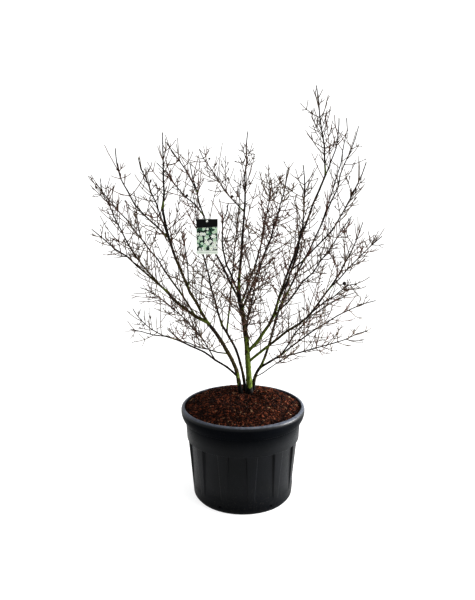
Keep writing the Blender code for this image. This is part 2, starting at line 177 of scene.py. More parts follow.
def gridQuads(rings, count, start=0):
    # The faces between neighbouring closed rings of count points each.
    foot = start + (np.arange(rings - 1) * count)[:, None]
    low, near = foot + np.arange(count), foot + (np.arange(count) + 1) % count
    return np.stack([low, near, near + count, low + count], -1).reshape(-1, 4)


def fan(hub, start, count, flipped=False):
    # The triangles between one point and a closed ring of count points.
    here, after = start + np.arange(count), start + (np.arange(count) + 1) % count
    return np.stack([np.full(count, hub), *((after, here) if flipped else (here, after))], -1)


class Pile:
    # Many small closed shapes that become one mesh. Each face keeps the number of its material.

    def __init__(self):
        self.points, self.quads, self.triangles = [], [], []
        self.quadTones, self.triangleTones = [], []
        self.size = 0

    def add(self, points, quads, triangles, tone=0):
        self.points.append(points)
        if len(quads):
            self.quads.append(np.asarray(quads) + self.size)
            self.quadTones.append(np.broadcast_to(tone, len(quads)))
        if len(triangles):
            self.triangles.append(np.asarray(triangles) + self.size)
            self.triangleTones.append(np.broadcast_to(0 if np.ndim(tone) else tone, len(triangles)))
        self.size += len(points)

    def build(self, name, finishes, smooth=True):
        points = np.concatenate(self.points)
        quads = np.concatenate(self.quads) if self.quads else np.zeros((0, 4), int)
        triangles = np.concatenate(self.triangles) if self.triangles else np.zeros((0, 3), int)
        tones = np.concatenate(self.quadTones + self.triangleTones)
        mesh = bpy.data.meshes.new(name)
        mesh.vertices.add(len(points))
        mesh.vertices.foreach_set("co", points.astype(np.float32).ravel())
        mesh.loops.add(quads.size + triangles.size)
        corners = np.concatenate([quads.ravel(), triangles.ravel()])
        mesh.loops.foreach_set("vertex_index", corners.astype(np.int32))
        mesh.polygons.add(len(quads) + len(triangles))
        starts = [np.arange(len(quads)) * 4, quads.size + np.arange(len(triangles)) * 3]
        mesh.polygons.foreach_set("loop_start", np.concatenate(starts).astype(np.int32))
        mesh.polygons.foreach_set("material_index", tones.astype(np.int32))
        mesh.polygons.foreach_set("use_smooth", np.full(len(quads) + len(triangles), smooth))
        mesh.update(calc_edges=True)
        for finish in finishes:
            mesh.materials.append(finish)
        made = bpy.data.objects.new(name, mesh)
        bpy.context.scene.collection.objects.link(made)
        return made


def heading(bearing, climb):
    a, e = np.radians(bearing), np.radians(climb)
    return np.stack([np.cos(a) * np.cos(e), np.sin(a) * np.cos(e), np.sin(e)], -1)


def unit(vectors):
    return vectors / np.linalg.norm(vectors, axis=-1, keepdims=True)


def frameAlong(points):
    # At each point of a line: the way it runs, and two directions square to it.
    ways = unit(np.gradient(points, axis=0))
    mean = unit(points[-1] - points[0])
    side = np.eye(3)[np.abs(mean).argmin()]
    side = unit(side - mean * (side @ mean))
    across = unit(np.cross(ways, side))
    return ways, across, np.cross(ways, across)


def tube(pile, points, radii, sides, tone=0, bumps=None):
    # A closed tube round a line. radii is one for each point, and bumps adds to each point of each ring.
    ways, across, over = frameAlong(points)
    turns = turnsOf(sides)
    reach = np.broadcast_to(radii[:, None], (len(points), sides))
    if bumps is not None:
        reach = reach + bumps
    rings = points[:, None] + reach[..., None] * (
        np.cos(turns)[None, :, None] * across[:, None] + np.sin(turns)[None, :, None] * over[:, None]
    )
    ends = np.stack([points[0], points[-1] + ways[-1] * radii[-1] * 0.9])
    total = len(points) * sides
    caps = np.concatenate([fan(total, 0, sides, flipped=True), fan(total + 1, total - sides, sides)])
    pile.add(np.concatenate([rings.reshape(-1, 3), ends]), gridQuads(len(points), sides), caps, tone)


# ---- the studio

def makeStudio():
    camera = bpy.data.objects.new("studioCamera", bpy.data.cameras.new("studioCamera"))
    bpy.context.scene.collection.objects.link(camera)
    camera.location = studio["cameraPlace"]
    camera.rotation_euler = (math.radians(90 - studio["cameraPitch"]), 0, 0)
    camera.data.sensor_fit = "HORIZONTAL"
    camera.data.sensor_width = studio["sensorWidth"]
    camera.data.lens = studio["focalLength"]
    bpy.context.scene.camera = camera

    # A light table of matt opal acrylic: an even pale ground, lit from below so that shadows stay faint.
    paper, _tree, shader = newMaterial("matt opal acrylic", studio["floorColour"], 0.9, 1.49)
    shader.inputs["Emission Color"].default_value = (1.0, 1.0, 1.0, 1.0)
    shader.inputs["Emission Strength"].default_value = studio["floorGlow"]
    half = studio["floorSide"] / 2
    corners = np.array([(-half, -half, 0), (half, -half, 0), (half, half, 0), (-half, half, 0)], float)
    ground = Pile()
    ground.add(corners, [(0, 1, 2, 3)], [])
    ground.build("studioFloor", [paper])

    world = bpy.data.worlds.new("studioWorld")
    bpy.context.scene.world = world
    world.use_nodes = True
    sky = world.node_tree.nodes["Background"]
    sky.inputs["Strength"].default_value = studio["worldStrength"]
    way = addNode(world.node_tree, "ShaderNodeTexCoord").outputs["Generated"]
    height = addNode(world.node_tree, "ShaderNodeSeparateXYZ", inputs={"Vector": way}).outputs["Z"]
    low, high = studio["wallHeights"]
    shade = ramp(world.node_tree, height, [(low, studio["wallColour"]), (high, studio["ceilingColour"])])
    world.node_tree.links.new(shade, sky.inputs["Color"])

    sun = bpy.data.objects.new("softSun", bpy.data.lights.new("softSun", "SUN"))
    bpy.context.scene.collection.objects.link(sun)
    sun.data.energy = studio["sunStrength"]
    sun.data.angle = math.radians(studio["sunAngle"])
    sun.rotation_euler = (-Vector(studio["sunPlace"])).to_track_quat("-Z", "Y").to_euler()
    for name, (place, side, watts, spread) in studio["lamps"].items():
        lamp = bpy.data.objects.new(name, bpy.data.lights.new(name, "AREA"))
        bpy.context.scene.collection.objects.link(lamp)
        lamp.data.size = side
        lamp.data.energy = watts
        lamp.data.spread = math.radians(spread)
        lamp.location = place
        lamp.rotation_euler = (Vector(studio["aim"]) - Vector(place)).to_track_quat("-Z", "Y").to_euler()
        lamp.visible_camera = False
    bpy.context.scene.view_settings.view_transform = "Standard"
    bpy.context.scene.view_settings.look = studio["look"]


makeStudio()
print("studio: camera, floor and lamps")

# ---- the container

pot = {
    "height": 0.390,
    "rimRadius": 0.250,
    "mouthRadius": 0.2365,
    "lipDepth": 0.058,
    "collarTop": 0.2315,  # radii of the collar under the lip
    "collarFoot": 0.2275,
    "collarFootHeight": 0.258,
    "wallTop": 0.2235,
    "wallFoot": 0.2025,
    "wallFootHeight": 0.022,
    "baseRadius": 0.188,
    "thickness": 0.0032,
    "middle": 0.030,  # radius of the flat middle of its base
    "baseHeights": (0.0045, 0.009),  # under and over the base, which stands on its edge
    "baseEdge": 0.010,  # width of that edge and its slope
    "ribs": 12,
    "ribBearing": -81.1,
    "ribSpread": (3.0, 5.4),  # half widths in degrees at the foot and under the collar
    "ribSlope": 1.1,  # degrees over which a rib's side slopes
    "panelDepth": 0.0078,  # the panels between the ribs are pressed in
    "panelFoot": 0.058,
    "panelFade": 0.50,  # under 1 keeps a panel deep for most of its height
    "holes": 6,
    "holeBearing": -57.0,
    "holeHeight": 0.029,
    "holeSize": (0.0052, 0.0040),  # half width and half height
    "insideHeight": 0.34,  # where the inner face starts to follow the lip
    "insideDraft": 0.06,
    "ringGap": 0.0070,  # the longest step between rings of the mesh
    "waves": (3, 0.00033),  # a moulded wall is never quite round: how many shallow waves, and how high
    "sharpFrom": 34,  # degrees from which an edge looks sharp
}


def roundedProfile(corners):
    # Corners are (radius, height, rounding). Each is replaced by an arc of five points.
    line = []
    for place, (r, z, rounding) in enumerate(corners):
        here = np.array([r, z])
        if rounding == 0 or place in (0, len(corners) - 1):
            line.append(here)
            continue
        before, after = np.array(corners[place - 1][:2]), np.array(corners[place + 1][:2])
        back, on = unit(before - here) * rounding, unit(after - here) * rounding
        for share in np.linspace(0, 1, 5):
            line.append(here + back * (1 - share) ** 2 + on * share ** 2)
    return line


def refine(line, longest):
    # Points added along the straight runs, so that none is longer than this.
    made = [line[0]]
    for before, after in zip(line, line[1:]):
        count = max(1, math.ceil(np.linalg.norm(after - before) / longest))
        made += [before + (after - before) * k / count for k in range(1, count + 1)]
    return np.array(made)


def smoothStep(x):
    x = np.clip(x, 0, 1)
    return x * x * (3 - 2 * x)


def panelRise(z):
    return (z - pot["panelFoot"]) / (pot["collarFootHeight"] - pot["panelFoot"])


def wallColumns(z):
    # The bearings in degrees of the shell's columns at this height, and how far each is pressed in, from
    # 0 on a rib to 1 on a panel. The columns lean with the ribs' sides, so that their edges stay crisp.
    foot, top = pot["ribSpread"]
    spread = foot + (top - foot) * min(max(panelRise(z), 0), 1)
    pitch, slope = 360 / pot["ribs"], pot["ribSlope"]
    ribTop = np.linspace(-spread, spread, 8)
    side = spread + slope * np.array([0.10, 0.22, 0.40, 0.70, 0.88])
    panel = np.linspace(spread + slope, pitch - spread - slope, 19)
    one = np.concatenate([ribTop, side, panel, pitch - side[::-1]])
    sunk = np.array([0.02, 0.10, 0.32, 0.80, 0.97])
    pressed = np.concatenate([np.zeros(8), sunk, np.ones(19), sunk[::-1]])
    turns = pot["ribBearing"] + np.arange(pot["ribs"])[:, None] * pitch + one
    return turns.ravel(), np.tile(pressed, pot["ribs"])


def makePlastic():
    # Recycled polypropylene, injection-moulded against a spark-eroded tool: charcoal, satin, with a
    # faint blue cast in the highlights, fine grain and dust from the potting shed low on the wall.
    made, tree, shader = newMaterial("moulded recycled polypropylene", "#07080a", 0.36, 1.49, 0.13)
    place = objectCoordinates(tree)
    height = addNode(tree, "ShaderNodeSeparateXYZ", inputs={"Vector": place}).outputs["Z"]
    # Regrind never mixes fully: cloudy shades about 90 mm across.
    body = ramp(tree, noiseOver(tree, place, 90, 3.0), [(0.3, "#040608"), (0.7, "#080a0e")])
    # Dust: specks about 5 mm apart, thick at the foot and thin above.
    dusty = combined(
        tree, "ADD", noiseOver(tree, place, 5, 6.0), mapped(tree, height, (0.0, 0.16), (0.10, 0.0))
    )
    colour = mixed(tree, mapped(tree, dusty, (0.62, 0.84), (0.0, 0.30)), body, toLinear("#4a4640"))
    # Painted highlight: the rim's top is painted a pale blue-grey, in smears about 12 mm long.
    top = mapped(tree, height, (0.3815, 0.3870), (0.0, 1.0))
    paintedRimHighlight = combined(tree, "MULTIPLY", top, noiseOver(tree, place, 12, 5.0))
    tree.links.new(mixed(tree, paintedRimHighlight, colour, toLinear("#5f646f")), shader.inputs["Base Color"])
    tree.links.new(mapped(tree, dusty, (0.4, 0.8), (0.36, 0.60)), shader.inputs["Roughness"])
    # The foot reflects less towards the ground. Painted shade under the lip: the lip's face reflects almost
    # nothing, so it stays dark, and a painted highlight on the rim's top, which reflects more.
    shine = ramp(tree, height, [
        (0.0, "#101010"), (0.10, "#666666"), (0.28, "#666666"),
        (0.335, "#181818"), (0.372, "#262626"), (0.384, "#909090"),
    ])
    tree.links.new(shine, shader.inputs["Specular IOR Level"])
    # The grain is 0.4 mm on the real tool, too fine to show, so it is drawn at 1.6 mm.
    roughen(tree, shader, noiseOver(tree, place, 1.6, 2.0), 0.18, 0.0006)
    return made


def insideRadius(z):
    # The wall's inner face near the top.
    return pot["collarTop"] - 0.003 + (z - pot["insideHeight"]) * pot["insideDraft"]


def makeDrainCutters():
    # Rounded plugs through the foot of the wall, one for each drain hole.
    cutters = Pile()
    sides, half = 20, 0.02  # points round a plug, and half its length
    turns = turnsOf(sides)
    middle = np.array([0, 0, pot["holeHeight"]])
    inside, outside = pot["wallFoot"] - half, pot["wallFoot"] + half
    for hole in range(pot["holes"]):
        bearing = math.radians(pot["holeBearing"] + hole * 360 / pot["holes"])
        out = np.array([math.cos(bearing), math.sin(bearing), 0])
        along = np.array([-math.sin(bearing), math.cos(bearing), 0])
        oval = middle + np.outer(np.cos(turns) * pot["holeSize"][0], along)
        oval = oval + np.outer(np.sin(turns) * pot["holeSize"][1], (0, 0, 1))
        ends = np.stack([middle + out * inside, middle + out * outside])
        points = np.concatenate([oval + out * inside, oval + out * outside, ends])
        caps = np.concatenate([fan(2 * sides, 0, sides, flipped=True), fan(2 * sides + 1, sides, sides)])
        cutters.add(points, gridQuads(2, sides), caps)
    return cutters.build("drainCutters", [])


def makePot():
    lipFoot = pot["height"] - pot["lipDepth"]
    inner = insideRadius(pot["insideHeight"])
    deep = pot["panelDepth"] + pot["thickness"]
    under, over = pot["baseHeights"]
    # The section from the middle of the base out, up, over the rim and down inside: radius, height and
    # rounding of each corner.
    corners = [
        (pot["middle"], under, 0),
        (pot["baseRadius"] - pot["baseEdge"], under, 0.002),
        (pot["baseRadius"] - 0.006, 0.0, 0.001),
        (pot["baseRadius"], 0.0, 0.003),
        (pot["wallFoot"] - 0.001, pot["wallFootHeight"] - 0.006, 0.008),
        (pot["wallTop"], pot["collarFootHeight"] - 0.0005, 0.0006),
        (pot["collarFoot"], pot["collarFootHeight"], 0.0010),
        (pot["collarTop"], lipFoot - 0.0012, 0.001),
        (pot["collarTop"] + 0.0062, lipFoot + 0.0006, 0.0018),
        (pot["rimRadius"] - 0.0035, pot["height"] - 0.040, 0.008),
        (pot["rimRadius"] + 0.0002, pot["height"] - 0.022, 0.008),
        (pot["rimRadius"] - 0.0014, pot["height"] - 0.0030, 0.009),
        (pot["mouthRadius"] - 0.0005, pot["height"] - 0.0002, 0.0028),
        (pot["mouthRadius"] - 0.003, pot["height"] - 0.012, 0.003),
        (inner, pot["insideHeight"], 0.004),
        (inner - deep, 0.27, 0.004),
        (pot["wallFoot"] - deep, 0.040, 0.006),
        (pot["wallFoot"] - deep - 0.014, over, 0.006),
        (pot["middle"], over, 0),
    ]
    line = refine(roundedProfile(corners), pot["ringGap"])
    outer = int(np.argmax(line[:, 1]))  # the panels are in the outside only
    waves, waveHeight = pot["waves"]
    rings = []
    for place, (r, z) in enumerate(line):
        degrees, pressed = wallColumns(z)
        turns = np.radians(degrees)
        reach = np.full(len(turns), r)
        if place < outer and 0 < panelRise(z) < 0.999:
            reach = reach - pressed * pot["panelDepth"] * panelRise(z) ** pot["panelFade"]
        reach = reach + waveHeight * np.sin(waves * turns + 9 * z) * smoothStep(z / 0.05)
        rings.append(np.stack([reach * np.cos(turns), reach * np.sin(turns), np.full(len(turns), z)], -1))
    count, total = len(rings[0]), len(line) * len(rings[0])
    shell = Pile()
    points = np.concatenate([np.array(rings).reshape(-1, 3), [[0, 0, under], [0, 0, over]]])
    caps = np.concatenate([fan(total, 0, count, flipped=True), fan(total + 1, total - count, count)])
    shell.add(points, gridQuads(len(line), count), caps)
    made = shell.build("potShell", [makePlastic()])
    cutters = makeDrainCutters()
    cut = made.modifiers.new("drainHoles", "BOOLEAN")
    cut.operation = "DIFFERENCE"
    cut.object = cutters
    graph = bpy.context.evaluated_depsgraph_get()
    holed = bpy.data.meshes.new_from_object(made.evaluated_get(graph))
    made.modifiers.clear()
    made.data = holed
    bpy.data.objects.remove(cutters)
    made.data.set_sharp_from_angle(angle=math.radians(pot["sharpFrom"]))
    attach(made, "root")
    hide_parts("pot")
    print("potShell", len(made.data.polygons), "faces")


makePot()
print("container: moulded shell with ribs and drain holes")

# ---- the compost

compost = {
    "edgeHeight": 0.3815,
    "topHeight": 0.4215,
    "topRadius": 0.105,
    "cell": 0.0021,
    "columns": 640,
    "tuck": 0.001,  # how far the surface runs on into the wall
    "skirt": 0.03,
    "crumb": 0.0058,  # metres across a crumb
    "relief": 0.0062,
    "chips": 7200,
    "chipLength": (0.003, 0.0125),
    "chipShades": (0.52, 0.45, 0.03),  # how often a chip is dark, red-brown or tan
    "chipTilt": 0.35,
    "seed": 41,
}


def soilEdge():
    return insideRadius(compost["edgeHeight"]) + compost["tuck"]


def moundHeight(r):
    share = np.clip((soilEdge() - r) / (soilEdge() - compost["topRadius"]), 0, 1)
    rise = compost["topHeight"] - compost["edgeHeight"]
    return compost["edgeHeight"] + rise * np.sin(share * math.pi / 2)


def crumbHeight(x, y):
    # Crumbs of two sizes over a gently lumpy surface.
    lumps = noise.fractal(Vector((x, y, 0.3)) * perMetre(38), 0.7, 2.0, 3) * 0.0022
    coarse = noise.voronoi(Vector((x, y, 1.7)) / compost["crumb"])[0]
    fine = noise.voronoi(Vector((x, y, 5.1)) / (compost["crumb"] * 0.45))[0]
    crumb = (coarse[1] - coarse[0]) ** 0.6 * 0.75 + (fine[1] - fine[0]) ** 0.7 * 0.35
    return lumps + (crumb - 0.5) * compost["relief"]


def makeCompostMaterial(name, stops, roughness):
    made, tree, shader = newMaterial(name, stops[len(stops) // 2][1], roughness, 1.45, 0.1)
    place = objectCoordinates(tree)
    # Shades change from one crumb to the next, about 5 mm apart.
    crumbs = addNode(
        tree, "ShaderNodeTexVoronoi", inputs={"Vector": place, "Scale": perMetre(5.0), "Randomness": 1.0}
    )
    shade = addNode(tree, "ShaderNodeSeparateColor", inputs={"Color": crumbs.outputs["Color"]})
    tree.links.new(ramp(tree, shade.outputs["Red"], stops), shader.inputs["Base Color"])
    roughen(tree, shader, noiseOver(tree, place, 1.5, 4.0), 0.5, 0.0012)
    return made


def makeSoil():
    # Composted pine bark, screened and damp: warm red-brown crumbs over near-black gaps.
    shades = [(0.0, "#110705"), (0.35, "#1b0d08"), (0.7, "#2b150e"), (1.0, "#40271a")]
    damp = makeCompostMaterial("damp composted bark", shades, 0.9)
    edge, count = soilEdge(), compost["columns"]
    rings = math.ceil(edge / compost["cell"])
    turns = turnsOf(count)
    points = [(0, 0, float(moundHeight(0)))]
    for ring in range(1, rings + 1):
        r = edge * ring / rings
        for t in turns:
            x, y = r * math.cos(t), r * math.sin(t)
            fade = min(1.0, (edge - r) / 0.006 + 0.35)
            points.append((x, y, float(moundHeight(r)) + crumbHeight(x, y) * fade))
    # A skirt down inside the wall closes the edge.
    low, wide = compost["edgeHeight"] - compost["skirt"], edge - 0.001
    points += [(wide * math.cos(t), wide * math.sin(t), low) for t in turns] + [(0, 0, low)]
    caps = np.concatenate([fan(0, 1, count), fan(len(points) - 1, 1 + rings * count, count, flipped=True)])
    quads = gridQuads(rings + 1, count, 1)[:, [0, 3, 2, 1]]  # turned to face up
    bed = Pile()
    bed.add(np.array(points, float), quads, caps)
    made = bed.build("compostSurface", [damp], smooth=False)
    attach(made, "root")
    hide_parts("soil")


def makeChips():
    # Loose bits of bark on the surface, in the three shades that bark weathers to.
    shades = finishesOf(makeCompostMaterial, (0.0, 0.6, 1.0), {
        "dark wet bark chip": ("#0a0403", "#180b07", "#28130b", 0.75),
        "red-brown bark chip": ("#34180f", "#502819", "#6d3f2b", 0.80),
        "dry tan bark chip": ("#4f392b", "#6e5642", "#92785c", 0.90),
    })
    dice = random.Random(compost["seed"])
    corners = np.array([(x, y, z) for x in (-1, 1) for y in (-1, 1) for z in (-1, 1)], float) / 2
    sides = [(0, 1, 3, 2), (4, 6, 7, 5), (0, 4, 5, 1), (2, 3, 7, 6), (0, 2, 6, 4), (1, 5, 7, 3)]
    bits = Pile()
    edge = soilEdge() - 0.006
    shortest, longest = compost["chipLength"]
    for _chip in range(compost["chips"]):
        r, t = edge * math.sqrt(dice.random()), dice.uniform(0, 2 * math.pi)
        x, y = r * math.cos(t), r * math.sin(t)
        long = shortest + (longest - shortest) * dice.uniform(0, 1) ** 2.2
        size = np.array([long, long * dice.uniform(0.35, 0.75), long * dice.uniform(0.2, 0.45)])
        shape = corners * size
        for corner in shape:
            corner *= dice.uniform(0.62, 1.1)
        lean, roll = dice.gauss(0, compost["chipTilt"]), dice.gauss(0, compost["chipTilt"])
        tilt = Matrix.Rotation(lean, 3, "X") @ Matrix.Rotation(roll, 3, "Y")
        spin = Matrix.Rotation(dice.uniform(0, 2 * math.pi), 3, "Z")
        shape = shape @ np.array(spin @ tilt).T
        top = float(moundHeight(r)) + crumbHeight(x, y) + size[2] * 0.25
        tone = dice.choices((0, 1, 2), compost["chipShades"])[0]
        bits.add(shape + np.array([x, y, top]), sides, [], tone)
    made = bits.build("barkChips", shades, smooth=False)
    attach(made, "root")
    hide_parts("soil")


makeSoil()
makeChips()
print("compost: surface and chips")

# ---- limbs: the same middle lines as the solids, each (parent, share, bearing, climb, length, turn, lift,
# thickness in mm at its foot and its tip, share from which it carries twigs)

soilTop = 0.4253
stems = {
    "left_stem": (-0.008, 0.050, -147, 81, 0.36, -17, -32, 15, 12.4),
    "back_stem": (0.009, 0.087, 120, 82, 0.29, 42, -34, 10.5, 8.6),
    "centre_stem": (0.027, 0.054, -133, 88, 0.45, -32, -10, 22, 15.5),
    "right_stem": (0.044, 0.083, 71, 92, 0.11, -67, -47, 12, 10.4),
}
boughs = {
    "low_left": ("left_stem", 0.21, 157, 35, 0.35, 0, -25, 8, 5.5, 1),
    "low_left_rise": ("low_left", 0.88, -178, 15, 0.24, 44, 49, 4.6, 3, 0),
    "low_left_end": ("low_left", 1, 163, 1, 0.17, -2, 9, 5, 3, 0),
    "low_back": ("low_left", 0.34, 137, 49, 0.49, 11, -36, 5, 3, 0),
    "low_front": ("left_stem", 0.52, -145, 16, 0.38, 28, 21, 5, 3, 0),
    "left_fork": ("left_stem", 1, -169, 22, 0.20, 11, 37, 12, 10, 1),
    "outer_left": ("left_fork", 1, -164, 44, 0.38, 6, -4, 8, 3, 0.45),
    "mid_left": ("left_fork", 0.90, 171, 42, 0.54, -27, 28, 7, 3, 0),
    "upper_left": ("left_fork", 0.25, 142, 48, 0.73, 2, -11, 7.5, 3, 0.50),
    "front_left": ("left_stem", 0.95, -148, 58, 0.56, 52, 2, 11, 7.5, 1),
    "far_left": ("front_left", 0.77, -164, 39, 0.41, 67, 28, 6, 3, 0),
    "front_left_top": ("front_left", 1, -47, 84, 0.26, -56, -2, 7, 3, 0),
    "front_left_side": ("front_left", 0.65, -120, 63, 0.44, 16, -17, 5.5, 3, 0),
    "left_twig": ("front_left", 0.33, -85, 51, 0.33, -12, -13, 5, 3, 0.4),
    "leader": ("centre_stem", 1, 35, 84, 0.61, 45, 0, 11, 3, 0.60),
    "crossing": ("leader", 0.50, 138, 36, 0.37, -18, 4, 5, 3, 0),
    "label_limb": ("centre_stem", 0.90, -160, 62, 0.60, 48, 7, 8, 3, 0.74),
    "label_side": ("label_limb", 0.64, 145, 38, 0.29, 3, 4, 5, 3, 0),
    "label_back": ("label_limb", 0.81, -135, 55, 0.23, 3, -9, 5, 3, 0.3),
    "fore_limb": ("centre_stem", 0.97, -126, 53, 0.54, 59, -14, 7.5, 3, 0.45),
    "back_right": ("centre_stem", 0.85, 47, 56, 0.63, 45, 0, 8, 3, 0.45),
    "fore_right": ("centre_stem", 0.80, -53, 60, 0.72, -31, -14, 7.5, 3, 0.45),
    "low_fore": ("centre_stem", 0.55, -88, 42, 0.48, 14, 12, 6, 3, 0),
    "back_left_rise": ("back_stem", 1, 122, 57, 0.62, -14, 6, 8, 3, 0),
    "back_rise": ("back_stem", 0.88, 78, 60, 0.68, 4, 4, 7, 3, 0.42),
    "inner_right": ("centre_stem", 0.40, -14, 48, 0.22, -18, 17, 12, 10, 1),
    "tall_limb": ("inner_right", 1, -19, 74, 0.56, 1, -7, 9, 6.2, 1),
    "tall_top": ("tall_limb", 1, 177, 84, 0.325, -18, -3, 6, 3, 0),
    "tall_side": ("tall_limb", 0.90, -45, 60, 0.30, -53, -4, 5, 3, 0),
    "right_rise": ("inner_right", 0.90, -41, 64, 0.69, -67, -6, 8, 3, 0.45),
    "right_sweep": ("right_rise", 0.32, -13, 40, 0.51, -42, 30, 6, 3, 0),
    "right_mid": ("inner_right", 0.80, -30, 49, 0.54, -5, 7, 6.5, 3, 0),
    "right_back": ("right_stem", 1, 32, 68, 0.26, 10, -1, 10, 8.2, 1),
    "right_back_rise": ("right_back", 1, 13, 60, 0.80, 14, 10, 8, 3, 0.58),
    "right_back_fork": ("right_back_rise", 0.46, 30, 67, 0.49, 52, -10, 5, 3, 0),
    "back_low": ("right_back", 0.85, 66, 42, 0.46, 0, 10, 6, 3, 0),
    "right_low": ("centre_stem", 0.30, -14, 44, 0.32, -5, -7, 10, 8, 1),
    "right_low_rise": ("right_low", 1, 6, 50, 0.42, 11, 19, 8, 3, 0.42),
    "right_low_long": ("right_low_rise", 0.32, -21, 51, 0.30, -11, -7, 5, 3, 0),
    "right_low_fore": ("right_low", 0.92, -48, 45, 0.36, -13, -21, 5, 3, 0),
    "right_out": ("right_stem", 0.90, -9, 40, 0.11, -8, -8, 8.5, 7, 1),
    "right_out_rise": ("right_out", 1, 4, 42, 0.45, 0, -24, 6.5, 3, 0),
    "right_out_second": ("right_out", 1, 29, 57, 0.42, -11, -46, 6, 3, 0.3),
    "right_out_low": ("right_out", 0.74, -20, 18, 0.43, -21, 11, 5.5, 3, 0),
    "thin_right": ("right_stem", 0.51, -48, 35, 0.27, -11, -2, 4, 2.8, 0.5),
}

limbs = {
    "step": 0.0030,  # metres between the rings of the bark
    "knee": 0.055,  # metres between the slight bends at its joints
    "kneeShift": 0.0022,
    "flare": 0.45,  # a stem's foot is this much thicker, fading over the length below
    "flareLength": 0.030,
    "collar": 0.55,  # the same where a bough leaves its parent
    "collarLength": 0.007,
    "joint": 0.13,  # the slight ring at each knee
    "jointLength": 0.0028,
    "fullness": 1.07,  # the bark stands a little proud of the solid limb
    "tipRoom": 0.004,  # metres that a tip stays inside the solids' own box
    "sunk": 0.006,  # metres that a stem runs on into the soil
    "seed": 7,
}


class Line:
    # A limb's or twig's middle line with its radius at each point.

    def __init__(self, points, radii):
        self.points, self.radii = points, radii
        steps = np.linalg.norm(np.diff(points, axis=0), axis=1)
        self.along = np.concatenate([[0], np.cumsum(steps)])
        self.length = self.along[-1]

    def at(self, share):
        place = share * self.length
        return np.array([np.interp(place, self.along, self.points[:, k]) for k in range(3)])

    def way(self, share):
        low, high = max(share - 0.03, 0), min(share + 0.03, 1)
        return unit(self.at(high) - self.at(low))

    def radius(self, share):
        return float(np.interp(share * self.length, self.along, self.radii))


def growLimb(foot, bearing, climb, length, turn, lift, thick, thin, dice, stemFoot=False):
    count = max(12, round(length / limbs["step"]))
    shares = (np.arange(count) + 0.5) / count
    ways = heading(bearing + turn * shares, climb + lift * shares)
    points = np.concatenate([[foot], foot + np.cumsum(ways * length / count, axis=0)])
    at = np.linspace(0, 1, count + 1)
    knees = max(3, round(length / limbs["knee"]) + 1)
    places = np.linspace(0, 1, knees)
    shifts = np.array([[dice.gauss(0, limbs["kneeShift"]) for _axis in range(3)] for _knee in range(knees)])
    shifts[0] = 0
    if stemFoot:
        shifts[:2] = 0
    points = points + np.stack([np.interp(at, places, shifts[:, k]) for k in range(3)], -1)
    radii = (thick + (thin - thick) * at) / 2000
    # A swollen foot where it leaves its parent or the soil, and a slight ring at each joint.
    along = at * length
    part = "flare" if stemFoot else "collar"
    swell = limbs[part] * np.exp(-along / limbs[part + "Length"])
    rings = sum(np.exp(-((at - place) * length / limbs["jointLength"]) ** 2) for place in places[1:])
    radii = radii * (1 + swell + limbs["joint"] * rings) * limbs["fullness"]
    low, high = np.array(cadBox[0]) + limbs["tipRoom"], np.array(cadBox[1]) - limbs["tipRoom"]
    inside = ((points[:, :2] > low[:2]) & (points[:, :2] < high[:2])).all(axis=1) & (points[:, 2] < high[2])
    kept = len(points) if inside.all() else max(4, int(inside.argmin()))
    return Line(points[:kept], radii[:kept])


def growAllLimbs():
    dice = random.Random(limbs["seed"])
    grown = {}
    for name, (x, y, *growth) in stems.items():
        grown[name] = growLimb(np.array([x, y, soilTop - limbs["sunk"]]), *growth, dice, stemFoot=True)
    for name, (parent, share, *growth) in boughs.items():
        grown[name] = growLimb(grown[parent].at(share), *growth[:-1], dice)
    return grown


grown = growAllLimbs()
print("limbs:", len(grown), "middle lines")

# ---- bark

bark = {
    "sides": (26, 20, 12, 8),  # by thickness: over 12 mm, over 8, over 5 and the rest
    "ridgeHeight": 0.121,  # as a share of the radius
    "fineShare": 0.55,  # the finer cracks beside the ridges
    "ridgeLength": 0.022,
    "patch": 0.022,  # metres across a patch of green or of dark bark
    "mottle": 0.0045,
    # Painted light and shade: a limb is painted lighter and greener on the side facing this way, and
    # near-black on the side away from it.
    "litSide": (0.75, -0.55, 0.1),
    "wander": 0.22,  # how far the borders between shades wander, as a share of the limb's length
    "stain": 0.030,  # metres of dark damp bark over the soil
}

# How far up each limb the green of algae and young bark reaches, and then the olive above it.
greenReach = {
    "centre_stem": (0.50, 0.78), "left_stem": (0.16, 0.75), "back_stem": (0.0, 0.35),
    "right_stem": (0.0, 0.6), "inner_right": (0.55, 1.0), "right_low": (0.30, 0.9), "left_fork": (0.0, 0.8),
    "front_left": (0.02, 0.55), "mid_left": (0.0, 0.35), "outer_left": (0.0, 0.3), "tall_limb": (0.0, 0.25),
    "right_back": (0.0, 0.4), "right_rise": (0.0, 0.2), "right_mid": (0.0, 0.25), "leader": (0.0, 0.08),
    "upper_left": (0.0, 0.25),
}


def makeBark(name, stops, roughness):
    # Dogwood's thin bark: smooth and slightly waxy when young, finely cracked along the stem when old.
    made, tree, shader = newMaterial(name, stops[1][1], roughness, 1.45, 0.12)
    # Streaks 3 mm wide that run up the stem, so the pattern is drawn four times longer than wide.
    stretched = addNode(
        tree, "ShaderNodeMapping", inputs={"Vector": objectCoordinates(tree), "Scale": (1.0, 1.0, 0.25)}
    ).outputs["Vector"]
    streak = noiseOver(tree, stretched, 3.2, 5.0, 0.65)
    tree.links.new(ramp(tree, streak, stops), shader.inputs["Base Color"])
    # Cracks and lenticels about 1.4 mm apart.
    roughen(tree, shader, noiseOver(tree, stretched, 1.4, 3.0), 0.5, 0.0008)
    return made


def makeBarkFinishes():
    return finishesOf(makeBark, (0.32, 0.50, 0.70), {
        "green algae on young bark": ("#1d230d", "#48551f", "#6c7a36", 0.75),
        "olive bark": ("#110e06", "#29230f", "#4c421f", 0.70),
        "umber bark": ("#080504", "#18110c", "#33251c", 0.70),
        # This near-black bark is also the painted shade on the side of a limb away from the light.
        "damp dark bark": ("#020202", "#080605", "#120e0b", 0.60),
    })


